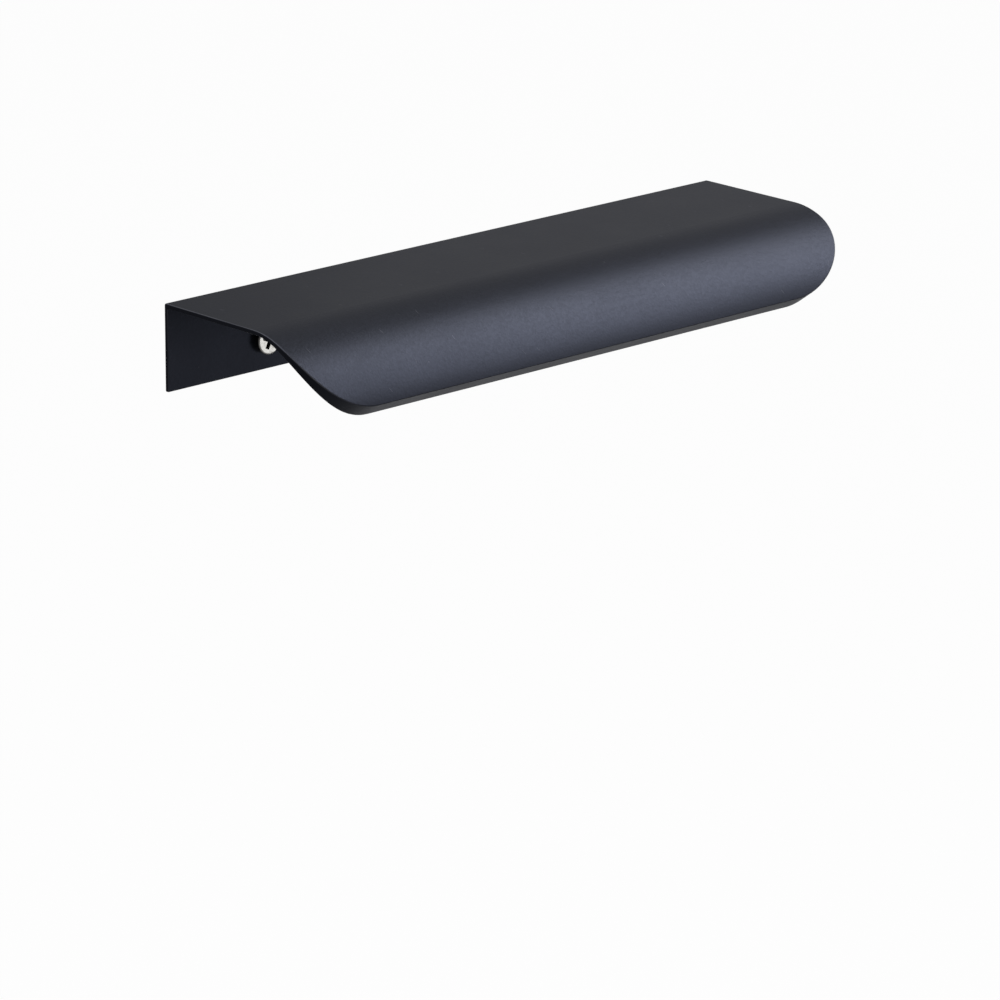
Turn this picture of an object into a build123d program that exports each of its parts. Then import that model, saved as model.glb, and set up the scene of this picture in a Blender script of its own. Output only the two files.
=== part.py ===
from build123d import *
from math import cos, radians, sin, tan
import os

# Lipped cabinet pull: one black metal section, screwed to a door through its thin back leg

# Overall section, in millimetres: X along the handle, +Y back towards the door, +Z up
length = 150.0
back_height = 17.8
top_flat = 26.05
wall = 0.9

# Lip: two arcs with centres of their own, which thicken the wall towards the lip's edge
lip_outer_radius = 17.75
lip_inner_radius = 13.5
inner_arc_lead = 0.25
lip_sweep = 79.0
edge_face_tilt = 54.0
corner_radius = 16.9

# Broken edges
fold_radius = 0.4
inside_fold_radius = 0.4
edge_radius = 0.25

# Screw holes in the back leg, measured from the middle and from the top face
hole_spacing = 100.0
hole_drop = 11.6
hole_diameter = 3.5
seat_diameter = 3.9
countersink_angle = 90.0

# Countersunk screws with a cross recess
head_diameter = 5.8
head_rim = 0.45
neck_diameter = 2.5
thread_diameter = 3.2
screw_length = 16.0
point_length = 3.6
recess_span = 3.7
recess_arm = 1.0
recess_depth = 1.3
recess_taper = 8.0
left_recess_turn = -25.0
right_recess_turn = 27.0
seat_clearance = 0.03

# Stock beyond each end of the handle, which the trimming takes off
end_allowance = 5.0

# The origin is on the back face, midway between the screw holes
top_z = hole_drop
bottom_z = top_z - back_height
tip_y = -top_flat - lip_outer_radius * sin(radians(lip_sweep))
tip_z = top_z - lip_outer_radius * (1 - cos(radians(lip_sweep)))
trim_reach = top_flat + lip_outer_radius + back_height

# The lip's arcs run on to the point that lies furthest along the trimming direction
stock_sweep = 90.0 + edge_face_tilt
outer_centre = (-top_flat, top_z - lip_outer_radius)
inner_centre = (-top_flat - inner_arc_lead, top_z - wall - lip_inner_radius)

# Trimming plane: square to the lip's edge face, with its own Y pointing out of that face
edge_face = radians(edge_face_tilt)
trim_plane = Plane(origin=(0, tip_y, tip_z), x_dir=(1, 0, 0), z_dir=(0, sin(edge_face), -cos(edge_face)))
trim_axis = Axis(trim_plane.origin, trim_plane.z_dir)

# Screws: how far the head stands proud of the leg, when its cone lies in the shallow seat
cone_slope = tan(radians(countersink_angle / 2))
head_proud = head_rim + (head_diameter - seat_diameter) / 2 / cone_slope + seat_clearance
head_face_y = -wall - head_proud
cone_start_y = head_face_y + head_rim
cone_end_y = cone_start_y + (head_diameter - neck_diameter) / 2 / cone_slope
screw_tip_y = head_face_y + screw_length
point_start_y = screw_tip_y - point_length

# Handle body: the section is drawn out, then its lip edge and rounded corners are trimmed in one cut
with BuildPart() as handle_body:
    with BuildSketch(Plane.YZ) as section:
        with BuildLine():
            Polyline((-wall, top_z - wall), (-wall, bottom_z), (0, bottom_z), (0, top_z), (-top_flat, top_z))
            outer_arc = CenterArc(outer_centre, lip_outer_radius, 90, stock_sweep)
            inner_arc = CenterArc(inner_centre, lip_inner_radius, 90, stock_sweep)
            Line(outer_arc @ 1, inner_arc @ 1)
            Line(inner_arc @ 0, (-wall, top_z - wall))
        make_face()
        fillet(section.vertices().sort_by_distance((0, top_z))[0], fold_radius)
        fillet(section.vertices().sort_by_distance((-wall, top_z - wall))[0], inside_fold_radius)
    extrude(amount=length / 2 + end_allowance, both=True)

    with BuildSketch(trim_plane) as outline:
        Rectangle(length, trim_reach, align=(Align.CENTER, Align.MAX))
        fillet(outline.vertices().group_by(Axis.Y)[-1], corner_radius)
    extrude(amount=trim_reach, both=True, mode=Mode.INTERSECT)

    # The rim's edges are broken where it meets the section, and so is the bottom of the leg
    rim_edges = handle_body.edges(Select.NEW).filter_by(trim_axis, reverse=True)
    leg_edges = handle_body.edges().filter_by(Axis.X).group_by(Axis.Z)[0]
    fillet(rim_edges + leg_edges, edge_radius)

    front_of_leg = Plane(origin=(0, -wall, 0), x_dir=(1, 0, 0), z_dir=(0, -1, 0))
    with Locations(front_of_leg):
        with GridLocations(hole_spacing, 0, 2, 1):
            CounterSinkHole(hole_diameter / 2, seat_diameter / 2, wall, countersink_angle)
handle_body.part.label = "handle_body"

# Fixing screws: the plain shank behind the leg is the envelope of the thread
with BuildPart() as fixing_screws:
    for screw_x, recess_turn in ((-hole_spacing / 2, left_recess_turn), (hole_spacing / 2, right_recess_turn)):
        with BuildSketch(Plane.XY):
            with BuildLine():
                Polyline(
                    (screw_x, head_face_y),
                    (screw_x + head_diameter / 2, head_face_y),
                    (screw_x + head_diameter / 2, cone_start_y),
                    (screw_x + neck_diameter / 2, cone_end_y),
                    (screw_x + neck_diameter / 2, 0),
                    (screw_x + thread_diameter / 2, 0),
                    (screw_x + thread_diameter / 2, point_start_y),
                    (screw_x, screw_tip_y),
                    close=True,
                )
            make_face()
        revolve(axis=Axis((screw_x, 0, 0), (0, 1, 0)))

        head_face = Plane(origin=(screw_x, head_face_y, 0), x_dir=(1, 0, 0), z_dir=(0, -1, 0))
        with BuildSketch(head_face):
            Rectangle(recess_arm, recess_span, rotation=recess_turn)
            Rectangle(recess_span, recess_arm, rotation=recess_turn)
        extrude(amount=-recess_depth, taper=recess_taper, mode=Mode.SUBTRACT)
fixing_screws.part.label = "fixing_screws"

os.makedirs("parts", exist_ok=True)
export_step(handle_body.part, "parts/handle_body.step")
export_step(fixing_screws.part, "parts/fixing_screws.step")
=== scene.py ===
import math

import bpy
from mathutils import Matrix, Vector


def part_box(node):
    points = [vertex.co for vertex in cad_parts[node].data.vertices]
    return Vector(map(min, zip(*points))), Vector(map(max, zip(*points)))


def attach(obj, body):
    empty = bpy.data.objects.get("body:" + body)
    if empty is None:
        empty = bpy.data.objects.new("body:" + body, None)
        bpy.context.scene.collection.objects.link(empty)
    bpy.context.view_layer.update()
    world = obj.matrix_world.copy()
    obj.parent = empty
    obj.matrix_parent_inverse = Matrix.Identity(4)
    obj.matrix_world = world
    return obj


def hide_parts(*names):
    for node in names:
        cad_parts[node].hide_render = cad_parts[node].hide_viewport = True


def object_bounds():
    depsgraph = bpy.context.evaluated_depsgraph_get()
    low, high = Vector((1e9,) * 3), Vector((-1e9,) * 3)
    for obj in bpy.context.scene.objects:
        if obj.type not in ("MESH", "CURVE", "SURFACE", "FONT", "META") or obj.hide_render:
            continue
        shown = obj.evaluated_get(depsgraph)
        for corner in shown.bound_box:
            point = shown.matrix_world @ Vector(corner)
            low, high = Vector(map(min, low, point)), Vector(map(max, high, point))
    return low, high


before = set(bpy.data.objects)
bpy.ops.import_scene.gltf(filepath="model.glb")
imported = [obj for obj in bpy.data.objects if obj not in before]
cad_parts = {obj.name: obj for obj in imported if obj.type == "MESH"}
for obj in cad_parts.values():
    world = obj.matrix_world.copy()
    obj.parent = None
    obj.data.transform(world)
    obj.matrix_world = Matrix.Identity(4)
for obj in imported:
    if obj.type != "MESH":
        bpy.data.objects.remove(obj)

# Looks of the lipped cabinet pull: its black satin body, its bright screws, the light and the camera

cad_low, cad_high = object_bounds()
screws_low, screws_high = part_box("fixing_screws")
MM = 0.001

# Camera, solved from the edges of the handle in the photograph
VIEW_AZIMUTH = math.radians(43.64)
VIEW_ELEVATION = math.radians(17.38)
VIEW_ROLL = math.radians(0.42)
VIEW_AIM = Vector((0, -20.0, 3.6)) * MM
VIEW_DISTANCE = 1009.6 * MM
VIEW_ASIDE = 3.21 * MM
VIEW_ABOVE = 41.03 * MM
FOCAL_IN_FRAME_WIDTHS = 5.0284
SENSOR_WIDTH = 36.0
NEAREST_SEEN = 0.05
FURTHEST_SEEN = 50.0

# Stage, in metres: a table top lies well below the handle, as under a part that hangs on its door
FLOOR_DROP = 300.0 * MM
FLOOR_NEAR_X = 0.11
FLOOR_NEAR_Y = 0.05
FLOOR_FAR = 2.4
FLOOR_COLOUR = (0.93, 0.93, 0.93, 1)
FLOOR_ROUGHNESS = 0.9
FLOOR_SPECULAR = 0.1
FLOOR_GLOW_SHARE = 0.97
WORLD_COLOUR = (1, 1, 1, 1)
WORLD_STRENGTH = 0.17

# Directions that tell the faces of the body apart, and the spans of facing over which their looks change
EDGE_FACE_TILT = math.radians(54.0)
TRIM_DIRECTION = Vector((0, math.sin(EDGE_FACE_TILT), -math.cos(EDGE_FACE_TILT)))
END_DIRECTION = Vector((1, 0, 0))
LIP_DIRECTION = Vector((0, -1, 1)).normalized()
TRIMMED_TURN = (0.2, 0.5)
END_TURN = (0.45, 0.9)
LIP_TURN = (0.75, 0.95)
EDGE_STARTS = (0.1, 0.25)
EDGE_STOPS = (0.7, 0.9)
WEAR_AND_HIGHLIGHT_SIDE = (-0.4, -0.2)

# Body finish
SATIN_DARK = (0.0108, 0.0112, 0.0129, 1)
SATIN_LIGHT = (0.0143, 0.0148, 0.0171, 1)
SATIN_ROUGHNESS = 0.42
SATIN_SPECULAR = 0.6
SATIN_TINT = (0.6, 0.68, 1.0, 1)
TRIM_ROUGHNESS = 0.53
END_ROUGHNESS_ADDED = 0.32
# Painted shade: the end faces are coloured darker than the satin, by how squarely they face along X
END_PAINTED_SHADE_COLOUR = (0.006, 0.006, 0.007, 1)
# Pale end edges: partly wear, partly a painted highlight along the outer edges of the ends
WEAR_AND_HIGHLIGHT_COLOUR = (0.11, 0.11, 0.12, 1)
WEAR_AND_HIGHLIGHT_LEAST = 0.4
SPECK_COLOUR = (0.10, 0.10, 0.11, 1)
SCRATCH_COLOUR = (0.16, 0.16, 0.176, 1)
GRAIN_PER_METRE = 1700
GRAIN_DETAIL = 2.0
GRAIN_STRENGTH = 1.0
GRAIN_HEIGHT = 0.02 * MM
GRAIN_ROUGHNESS = 0.045
GRAIN_ELSEWHERE = 0.3
MOTTLE_PER_METRE = 70
MOTTLE_DETAIL = 3.0
MOTTLE_ROUGHNESS = 0.015
SPECKS_PER_METRE = 300
SPECK_CHOICE = 0.8
SPECK_SPAN = (0.025, 0.06)
SPECK_MOST = 0.8
SCRATCHES_PER_METRE = 260
SCRATCH_CHOICE = 0.72
SCRATCH_LEAN = 1.0
SCRATCH_HALF_WIDTH = 0.04 * MM
SCRATCH_REACH = 0.7 * MM

# Screw plating
NICKEL_COLOUR = (0.83, 0.82, 0.79, 1)
NICKEL_SHADE = (0.72, 0.70, 0.66, 1)
NICKEL_ROUGHNESS = (0.2, 0.28)
# Painted shade: the outer rim and the cone of each head are coloured darker than the face
HEAD_RIM_PAINTED_SHADE = (0.36, 0.35, 0.33, 1)
HEAD_RIM_DARKER_PAINTED_SHADE = (0.26, 0.25, 0.23, 1)
HEAD_RIM_ROUGHNESS = (0.2, 0.3)
# Painted shade: the inside of the cross recess is coloured dark
RECESS_PAINTED_SHADE = (0.10, 0.095, 0.085, 1)
RECESS_ROUGHNESS = (0.4, 0.5)
CLOUDS_PER_METRE = 1500
CLOUD_DETAIL = 3.0
POLISH_PER_METRE = 9000
POLISH_DETAIL = 2.0
POLISH_STRENGTH = 0.1
POLISH_HEIGHT = 0.01 * MM

# Spans of the noise patterns, whose values crowd around a half
NOISE_SPAN = (0.3, 0.7)
GRAIN_TONES = (0.25, 0.75)
WEAR_AND_HIGHLIGHT_PATCHES = (0.35, 0.6)
CLOUD_TONES = (0.45, 0.8)

# Ranges of a share
RISING = (0.0, 1.0)
FALLING = (1.0, 0.0)

# Sockets of a mix node that carry colours, by number
MIX_FIRST = 6
MIX_SECOND = 7
MIX_RESULT = 2

# Screws: places and outer sizes come from the frame, finer sizes are stated
HEAD_RADIUS = (screws_high.z - screws_low.z) / 2
SCREW_X = screws_high.x - HEAD_RADIUS
HEAD_FACE_Y = screws_low.y
SCREW_TIP_Y = screws_high.y
HEAD_RIM = 0.45 * MM
RIM_ROUND = 0.27 * MM
FLAT_MARGIN = 0.04 * MM
NECK_RADIUS = 1.25 * MM
CORE_RADIUS = 1.1 * MM
THREAD_RADIUS = 1.6 * MM
THREAD_PITCH = 1.27 * MM
THREAD_FOOT = 0.32 * MM
THREAD_CREST = 0.05 * MM
THREAD_START = 0.4 * MM
POINT_LENGTH = 3.6 * MM
RECESS_ARMS = 4
RECESS_HALF_SPAN = 1.85 * MM
RECESS_HALF_ARM = 0.5 * MM
RECESS_DEPTH = 1.3 * MM
RECESS_FOOT_DEPTH = 0.95 * MM
RECESS_FOOT_SHARE = 0.72
LEFT_RECESS_TURN = math.radians(-25.0)
RIGHT_RECESS_TURN = math.radians(27.0)
TURN_STEPS = 120
RECESS_RINGS = 4
ROUND_STEPS = 6
THREAD_STEP = 0.06 * MM
SHARP_ANGLE = math.radians(35)
ALMOST_NOTHING = 1e-9

# Materials of a screw, by number
PLAIN = 0
# The recess faces take a copy of the plating darkened with painted shade
PAINTED_SHADE_IN_RECESS = 1
PAINTED_SHADE_ON_RIM = 2


def make_camera():
    """Places the camera where the photograph was taken from, with the same lens."""
    right = Vector((math.cos(VIEW_AZIMUTH), -math.sin(VIEW_AZIMUTH), 0))
    level = Vector((math.sin(VIEW_AZIMUTH), math.cos(VIEW_AZIMUTH), 0))
    look = level * math.cos(VIEW_ELEVATION) - Vector((0, 0, math.sin(VIEW_ELEVATION)))
    up = right.cross(look)
    rolled_right = right * math.cos(VIEW_ROLL) + up * math.sin(VIEW_ROLL)
    rolled_up = up * math.cos(VIEW_ROLL) - right * math.sin(VIEW_ROLL)
    place = VIEW_AIM - rolled_right * VIEW_ASIDE - rolled_up * VIEW_ABOVE - look * VIEW_DISTANCE
    data = bpy.data.cameras.new("camera")
    data.sensor_width = SENSOR_WIDTH
    data.lens = FOCAL_IN_FRAME_WIDTHS * SENSOR_WIDTH
    data.clip_start = NEAREST_SEEN
    data.clip_end = FURTHEST_SEEN
    camera = bpy.data.objects.new("camera", data)
    turn = Matrix((rolled_right, rolled_up, -look)).transposed()
    camera.matrix_world = Matrix.Translation(place) @ turn.to_4x4()
    bpy.context.scene.collection.objects.link(camera)
    bpy.context.scene.camera = camera


def add_mesh(name, points, faces):
    """A mesh object made from points and faces, in the scene's collection."""
    mesh = bpy.data.meshes.new(name)
    mesh.from_pydata(points, [], faces)
    piece = bpy.data.objects.new(name, mesh)
    bpy.context.scene.collection.objects.link(piece)
    return piece


def new_material(name):
    """A node material, its tree and its Principled shader."""
    material = bpy.data.materials.new(name)
    material.use_nodes = True
    return material, material.node_tree, material.node_tree.nodes["Principled BSDF"]


def feed(tree, socket, value):
    """Gives a socket its value: a link from another socket, or a plain number, vector or colour."""
    if isinstance(value, bpy.types.NodeSocket):
        tree.links.new(value, socket)
    else:
        socket.default_value = value


def add_node(tree, kind, **values):
    """A node whose inputs are fed by name."""
    node = tree.nodes.new(kind)
    for name, value in values.items():
        feed(tree, node.inputs[name.replace("_", " ")], value)
    return node


def add_math(tree, operation, first, second=0.0):
    """A sum, product or other plain operation on two values; gives its result."""
    node = tree.nodes.new("ShaderNodeMath")
    node.operation = operation
    feed(tree, node.inputs[0], first)
    feed(tree, node.inputs[1], second)
    return node.outputs["Value"]


def add_vector_math(tree, operation, first, second=(0, 0, 0)):
    """A plain operation on two vectors; gives the node, whose result is its Vector or its Value."""
    node = tree.nodes.new("ShaderNodeVectorMath")
    node.operation = operation
    feed(tree, node.inputs[0], first)
    feed(tree, node.inputs[1], second)
    return node


def add_noise(tree, place, per_metre, detail):
    """A noise pattern with so many swells to the metre; gives its value."""
    node = add_node(tree, "ShaderNodeTexNoise", Vector=place, Scale=per_metre, Detail=detail)
    return node.outputs["Fac"]


def add_bump(tree, shader, height, strength, distance):
    """Fine relief of a surface, from a pattern of heights."""
    bump = add_node(tree, "ShaderNodeBump", Strength=strength, Distance=distance, Height=height)
    tree.links.new(bump.outputs["Normal"], shader.inputs["Normal"])


def remap(tree, value, span, results):
    """A span of values turned into a range of results, held at both ends."""
    node = add_node(tree, "ShaderNodeMapRange", Value=value, From_Min=span[0], From_Max=span[1],
                    To_Min=results[0], To_Max=results[1])
    return node.outputs["Result"]


def blend_colours(tree, share, first, second):
    """A mix of two colours by a share from 0 to 1."""
    node = tree.nodes.new("ShaderNodeMix")
    node.data_type = "RGBA"
    tree.links.new(share, node.inputs["Factor"])
    feed(tree, node.inputs[MIX_FIRST], first)
    feed(tree, node.inputs[MIX_SECOND], second)
    return node.outputs[MIX_RESULT]


def facing(tree, direction):
    """How squarely the surface faces along a direction: from -1, against it, to 1."""
    normal = tree.nodes.new("ShaderNodeNewGeometry").outputs["Normal"]
    return add_vector_math(tree, "DOT_PRODUCT", normal, direction).outputs["Value"]


def floor_material():
    """A pale floor that shows white to the camera and in reflections, and keeps a share of its shading."""
    material, tree, shader = new_material("pale_floor")
    shader.inputs["Base Color"].default_value = FLOOR_COLOUR
    shader.inputs["Roughness"].default_value = FLOOR_ROUGHNESS
    shader.inputs["Specular IOR Level"].default_value = FLOOR_SPECULAR
    path = tree.nodes.new("ShaderNodeLightPath")
    seen = path.outputs["Is Camera Ray"]
    for kind in ("Is Glossy Ray", "Is Transmission Ray"):
        seen = add_math(tree, "MAXIMUM", seen, path.outputs[kind])
    share = add_math(tree, "MULTIPLY", seen, FLOOR_GLOW_SHARE)
    glow = tree.nodes.new("ShaderNodeEmission")
    mix = tree.nodes.new("ShaderNodeMixShader")
    tree.links.new(share, mix.inputs["Fac"])
    tree.links.new(shader.outputs["BSDF"], mix.inputs[1])
    tree.links.new(glow.outputs["Emission"], mix.inputs[2])
    tree.links.new(mix.outputs["Shader"], tree.nodes["Material Output"].inputs["Surface"])
    return material


def make_floor():
    """A pale table top below the handle, which fills the view behind it."""
    level = cad_low.z - FLOOR_DROP
    corners = [(x, y, level) for x in (FLOOR_NEAR_X, FLOOR_FAR) for y in (FLOOR_NEAR_Y, FLOOR_FAR)]
    floor = add_mesh("floor", corners, [(0, 2, 3, 1)])
    floor.data.materials.append(floor_material())


def make_world():
    """A dim even surround."""
    world = bpy.data.worlds.new("studio")
    world.use_nodes = True
    background = world.node_tree.nodes["Background"]
    background.inputs["Color"].default_value = WORLD_COLOUR
    background.inputs["Strength"].default_value = WORLD_STRENGTH
    bpy.context.scene.world = world


def add_softbox(name, direction, distance, width, height, radiance):
    """A rectangular lamp that faces the handle from a direction, as bright as stated where it shows."""
    data = bpy.data.lights.new(name, "AREA")
    data.shape = "RECTANGLE"
    data.size = width
    data.size_y = height
    data.energy = radiance * math.pi * width * height
    lamp = bpy.data.objects.new(name, data)
    away = Vector(direction).normalized()
    lamp.location = VIEW_AIM + away * distance
    lamp.rotation_mode = "QUATERNION"
    lamp.rotation_quaternion = away.to_track_quat("Z", "Y")
    bpy.context.scene.collection.objects.link(lamp)


def make_lamps():
    """A soft key in three parts at the right front, a weak lamp behind, a large one overhead,
    and a card for the screws."""
    add_softbox("key_high", direction=(0.80, -0.331, 0.666), distance=0.38,
                width=0.2, height=0.28, radiance=2.7)
    add_softbox("key_low", direction=(0.57, -0.573, 0.474), distance=0.36,
                width=0.2, height=0.25, radiance=2.1)
    add_softbox("key_foot", direction=(0.52, -0.70, 0.249), distance=0.36,
                width=0.2, height=0.18, radiance=0.92)
    add_softbox("back", direction=(0.72, 0.62, 0.31), distance=0.4,
                width=0.2, height=0.12, radiance=0.17)
    add_softbox("overhead", direction=(-0.15, 0.2, 0.97), distance=1.5,
                width=1.5, height=1.5, radiance=1.5)
    add_softbox("card", direction=(0.668, -0.697, -0.26), distance=0.9,
                width=0.28, height=0.28, radiance=1.0)


def scratch_share(tree, place):
    """Where a few short scratches lie: thin slices through the middles of some cells of a cell pattern."""
    cells = add_node(tree, "ShaderNodeTexVoronoi", Vector=place, Scale=SCRATCHES_PER_METRE)
    random = add_node(tree, "ShaderNodeSeparateColor", Color=cells.outputs["Color"])
    offset = add_vector_math(tree, "SUBTRACT", place, cells.outputs["Position"]).outputs["Vector"]
    reach = add_vector_math(tree, "LENGTH", offset).outputs["Value"]
    parts = add_node(tree, "ShaderNodeSeparateXYZ", Vector=offset)
    lean = remap(tree, random.outputs["Green"], RISING, (-SCRATCH_LEAN, SCRATCH_LEAN))
    aside = add_math(tree, "MULTIPLY", lean, parts.outputs["Z"])
    across = add_math(tree, "ABSOLUTE", add_math(tree, "ADD", parts.outputs["X"], aside))
    thin = remap(tree, across, (SCRATCH_HALF_WIDTH / 2, SCRATCH_HALF_WIDTH), FALLING)
    near = remap(tree, reach, (SCRATCH_REACH / 2, SCRATCH_REACH), FALLING)
    chosen = add_math(tree, "GREATER_THAN", random.outputs["Red"], SCRATCH_CHOICE)
    return add_math(tree, "MULTIPLY", add_math(tree, "MULTIPLY", thin, near), chosen)


def speck_share(tree, place):
    """Where a few pale specks lie: small dots in the middles of some cells of a cell pattern."""
    cells = add_node(tree, "ShaderNodeTexVoronoi", Vector=place, Scale=SPECKS_PER_METRE)
    random = add_node(tree, "ShaderNodeSeparateColor", Color=cells.outputs["Color"])
    chosen = add_math(tree, "GREATER_THAN", random.outputs["Red"], SPECK_CHOICE)
    dots = remap(tree, cells.outputs["Distance"], SPECK_SPAN, (SPECK_MOST, 0.0))
    return add_math(tree, "MULTIPLY", dots, chosen)


def wear_and_highlight_share(tree, mottle, across_trim, to_end):
    """Where the broken edges of the ends are worn pale, in patches, on the outer side of the section; this
    pale colour is also a painted highlight along those edges.
    """
    share = remap(tree, to_end, EDGE_STARTS, RISING)
    for factor in (
        remap(tree, to_end, EDGE_STOPS, FALLING),
        remap(tree, across_trim, WEAR_AND_HIGHLIGHT_SIDE, FALLING),
        remap(tree, mottle, WEAR_AND_HIGHLIGHT_PATCHES, (WEAR_AND_HIGHLIGHT_LEAST, 1.0)),
    ):
        share = add_math(tree, "MULTIPLY", share, factor)
    return share


def satin_roughness(tree, grain, mottle, across_trim, end_share):
    """Roughness of the satin: higher on trimmed faces and ends, and uneven, most of all on the lip."""
    trimmed = add_math(tree, "ABSOLUTE", across_trim)
    on_lip = remap(tree, facing(tree, LIP_DIRECTION), LIP_TURN, (GRAIN_ELSEWHERE, 1.0))
    uneven = remap(tree, grain, NOISE_SPAN, (-GRAIN_ROUGHNESS, GRAIN_ROUGHNESS))
    roughness = remap(tree, trimmed, TRIMMED_TURN, (TRIM_ROUGHNESS, SATIN_ROUGHNESS))
    for added in (
        add_math(tree, "MULTIPLY", end_share, END_ROUGHNESS_ADDED),
        add_math(tree, "MULTIPLY", uneven, on_lip),
        remap(tree, mottle, NOISE_SPAN, (-MOTTLE_ROUGHNESS, MOTTLE_ROUGHNESS)),
    ):
        roughness = add_math(tree, "ADD", roughness, added)
    return roughness


def black_finish():
    """Black satin finish: fine grain, faint mottling, specks and scratches, dull ends darkened with painted
    shade, and pale worn end edges that also carry a painted highlight.
    """
    material, tree, shader = new_material("black_satin")
    place = tree.nodes.new("ShaderNodeTexCoord").outputs["Object"]
    grain = add_noise(tree, place, GRAIN_PER_METRE, GRAIN_DETAIL)
    mottle = add_noise(tree, place, MOTTLE_PER_METRE, MOTTLE_DETAIL)
    across_trim = facing(tree, TRIM_DIRECTION)
    to_end = add_math(tree, "ABSOLUTE", facing(tree, END_DIRECTION))
    end_share = remap(tree, to_end, END_TURN, RISING)

    colour = blend_colours(tree, remap(tree, grain, GRAIN_TONES, RISING), SATIN_DARK, SATIN_LIGHT)
    for share, covering in (
        # The end faces get painted shade; the pale end edges are wear and a painted highlight in one
        (end_share, END_PAINTED_SHADE_COLOUR),
        (wear_and_highlight_share(tree, mottle, across_trim, to_end), WEAR_AND_HIGHLIGHT_COLOUR),
        (speck_share(tree, place), SPECK_COLOUR),
        (scratch_share(tree, place), SCRATCH_COLOUR),
    ):
        colour = blend_colours(tree, share, colour, covering)
    tree.links.new(colour, shader.inputs["Base Color"])

    roughness = satin_roughness(tree, grain, mottle, across_trim, end_share)
    tree.links.new(roughness, shader.inputs["Roughness"])
    add_bump(tree, shader, grain, GRAIN_STRENGTH, GRAIN_HEIGHT)
    shader.inputs["Specular IOR Level"].default_value = SATIN_SPECULAR
    shader.inputs["Specular Tint"].default_value = SATIN_TINT
    return material


def bright_plating(name, colour, shade, roughness):
    """Nickel plating with slightly cloudy gloss."""
    material, tree, shader = new_material(name)
    place = tree.nodes.new("ShaderNodeTexCoord").outputs["Object"]
    cloud = add_noise(tree, place, CLOUDS_PER_METRE, CLOUD_DETAIL)
    fine = add_noise(tree, place, POLISH_PER_METRE, POLISH_DETAIL)
    tree.links.new(remap(tree, cloud, NOISE_SPAN, roughness), shader.inputs["Roughness"])
    mixed = blend_colours(tree, remap(tree, cloud, CLOUD_TONES, RISING), colour, shade)
    tree.links.new(mixed, shader.inputs["Base Color"])
    add_bump(tree, shader, fine, POLISH_STRENGTH, POLISH_HEIGHT)
    shader.inputs["Metallic"].default_value = 1.0
    return material


def turn_angles(recess_turn):
    """Turn angles of a screw's points: evenly spread ones, and the corners of its cross recess."""
    half_end = math.atan2(RECESS_HALF_ARM, RECESS_HALF_SPAN)
    angles = [math.tau * step / TURN_STEPS for step in range(TURN_STEPS)]
    for number in range(RECESS_ARMS):
        arm = recess_turn + math.tau * number / RECESS_ARMS
        angles += [arm - half_end, arm + half_end, arm + math.pi / RECESS_ARMS]
    return sorted(angle % math.tau for angle in angles)


def recess_reach(turn):
    """How far the outline of the cross recess lies from the middle, by the turn from one of its arms."""
    across = abs(math.cos(turn)) + ALMOST_NOTHING
    along = abs(math.sin(turn)) + ALMOST_NOTHING
    one_arm = min(RECESS_HALF_SPAN / across, RECESS_HALF_ARM / along)
    other_arm = min(RECESS_HALF_ARM / across, RECESS_HALF_SPAN / along)
    return max(one_arm, other_arm)


def held_share(value):
    """A value held between 0 and 1."""
    return min(1, max(0, value))


def thread_reach(y, turn):
    """Outside of the screw behind the leg, with a right-hand thread that tapers into the point."""
    taper = held_share((SCREW_TIP_Y - y) / POINT_LENGTH)
    phase = (y / THREAD_PITCH + turn / math.tau) % 1
    from_crest = abs(phase - 1 / 2) * THREAD_PITCH
    ridge = held_share((THREAD_FOOT - from_crest) / (THREAD_FOOT - THREAD_CREST))
    start = held_share(y / THREAD_START)
    return taper * (CORE_RADIUS + (THREAD_RADIUS - CORE_RADIUS) * ridge * start)


def recess_rings(recess_turn, turns):
    """Rings of the recess from floor to mouth, each a material, a reach at each turn and a place along Y."""
    mouth = [recess_reach(turn - recess_turn) for turn in turns]
    rings = []
    for number in range(1, RECESS_RINGS + 1):
        share = number / RECESS_RINGS
        depth = RECESS_DEPTH + (RECESS_FOOT_DEPTH - RECESS_DEPTH) * share
        reaches = [RECESS_FOOT_SHARE * share * reach for reach in mouth]
        rings.append((PAINTED_SHADE_IN_RECESS, reaches, HEAD_FACE_Y + depth))
    rings.append((PAINTED_SHADE_IN_RECESS, mouth, HEAD_FACE_Y))
    return rings


def head_rings(count):
    """Rings of the head outside its recess: flat face, rounded rim, cone and neck."""
    rings = [(PLAIN, [HEAD_RADIUS - RIM_ROUND - FLAT_MARGIN] * count, HEAD_FACE_Y)]
    for number in range(ROUND_STEPS + 1):
        bend = math.pi / 2 * number / ROUND_STEPS
        reach = HEAD_RADIUS - RIM_ROUND * (1 - math.sin(bend))
        # The outer half of the rounded rim and the cone get the plating with painted shade
        kind = PAINTED_SHADE_ON_RIM if number > ROUND_STEPS // 2 else PLAIN
        rings.append((kind, [reach] * count, HEAD_FACE_Y + RIM_ROUND * (1 - math.cos(bend))))
    cone_start = HEAD_FACE_Y + HEAD_RIM
    cone_end = cone_start + HEAD_RADIUS - NECK_RADIUS
    rings.append((PAINTED_SHADE_ON_RIM, [HEAD_RADIUS] * count, cone_start))
    rings.append((PAINTED_SHADE_ON_RIM, [NECK_RADIUS] * count, cone_end))
    rings.append((PLAIN, [CORE_RADIUS] * count, 0))
    return rings


def thread_rings(turns):
    """Rings of the threaded shank, from the back of the leg to just short of the point."""
    steps = round(SCREW_TIP_Y / THREAD_STEP)
    rings = []
    for number in range(1, steps):
        y = SCREW_TIP_Y * number / steps
        rings.append((PLAIN, [thread_reach(y, turn) for turn in turns], y))
    return rings


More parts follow.
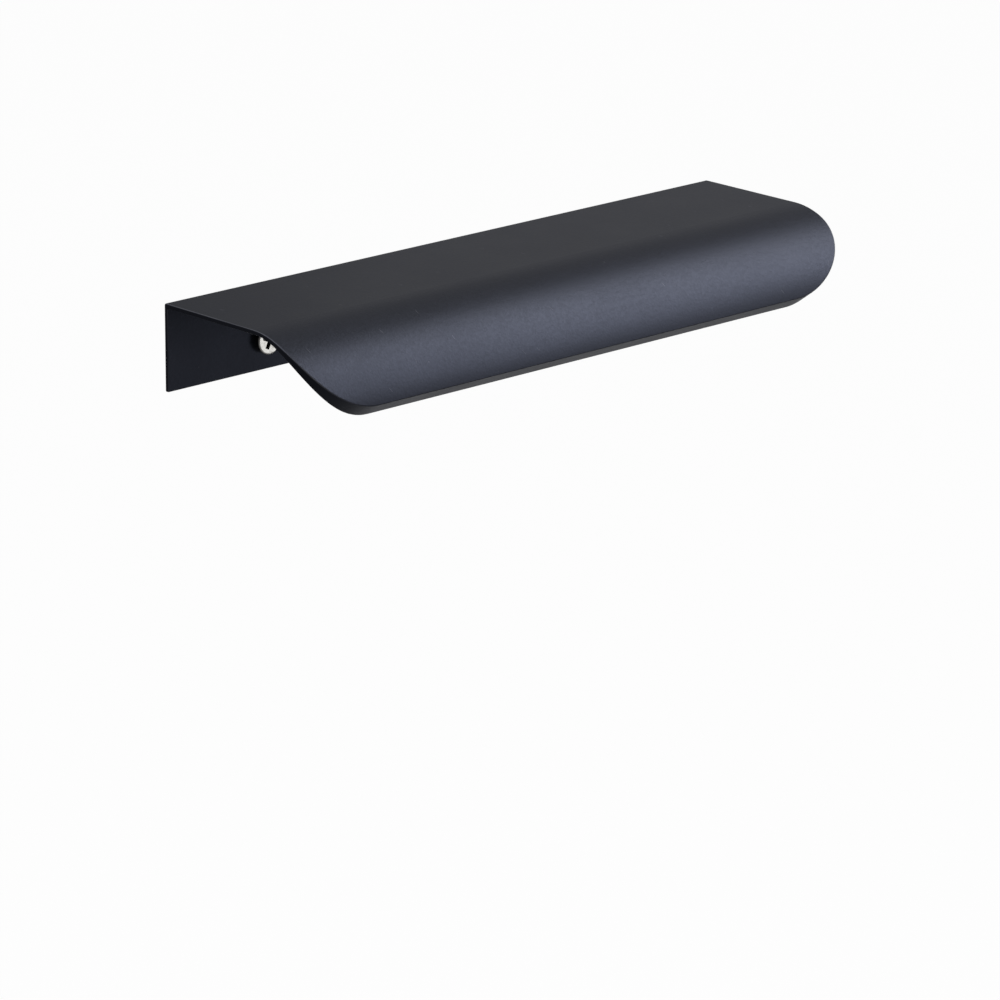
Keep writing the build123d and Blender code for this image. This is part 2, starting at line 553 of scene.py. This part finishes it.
def screw_shell(screw_x, recess_turn):
    """Points and faces of one screw along Y, and for each face the number of its material."""
    turns = turn_angles(recess_turn)
    count = len(turns)
    rings = recess_rings(recess_turn, turns) + head_rings(count) + thread_rings(turns)
    points = [(screw_x, HEAD_FACE_Y + RECESS_DEPTH, 0)]
    for _, reaches, y in rings:
        for reach, turn in zip(reaches, turns):
            points.append((screw_x + reach * math.cos(turn), y, reach * math.sin(turn)))
    points.append((screw_x, SCREW_TIP_Y, 0))
    tip = len(points) - 1
    around = [(step, (step + 1) % count) for step in range(count)]
    faces = [(0, 1 + step, 1 + after) for step, after in around]
    for row in range(len(rings) - 1):
        here = 1 + row * count
        there = here + count
        faces += [(here + step, there + step, there + after, here + after) for step, after in around]
    last = tip - count
    faces += [(last + step, tip, last + after) for step, after in around]
    # Each row of faces has the material of the ring that it leads to, and the last row leads to the tip
    row_kinds = [kind for kind, _, _ in rings] + [PLAIN]
    return points, faces, [kind for kind in row_kinds for _ in range(count)]


def make_screws():
    """Both screws with their threads, in one piece that stands for the plain ones."""
    points, faces, kinds = [], [], []
    for screw_x, recess_turn in ((-SCREW_X, LEFT_RECESS_TURN), (SCREW_X, RIGHT_RECESS_TURN)):
        new_points, new_faces, new_kinds = screw_shell(screw_x, recess_turn)
        faces += [tuple(index + len(points) for index in face) for face in new_faces]
        points += new_points
        kinds += new_kinds
    screws = add_mesh("threaded_screws", points, faces)
    materials = screws.data.materials
    materials.append(bright_plating("nickel_plating", NICKEL_COLOUR, NICKEL_SHADE, NICKEL_ROUGHNESS))
    # The recess and the outer rim of each head get copies of the plating darkened with painted shade
    materials.append(bright_plating("nickel_painted_shade_in_recess", RECESS_PAINTED_SHADE, RECESS_PAINTED_SHADE, RECESS_ROUGHNESS))
    materials.append(bright_plating("nickel_painted_shade_on_rim", HEAD_RIM_PAINTED_SHADE, HEAD_RIM_DARKER_PAINTED_SHADE, HEAD_RIM_ROUGHNESS))
    screws.data.shade_smooth()
    screws.data.set_sharp_from_angle(angle=SHARP_ANGLE)
    screws.data.polygons.foreach_set("material_index", kinds)
    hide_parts("fixing_screws")
    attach(screws, "root")


bpy.context.scene.view_settings.view_transform = "Standard"
make_camera()
make_floor()
make_world()
make_lamps()
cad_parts["handle_body"].data.materials[0] = black_finish()
make_screws()
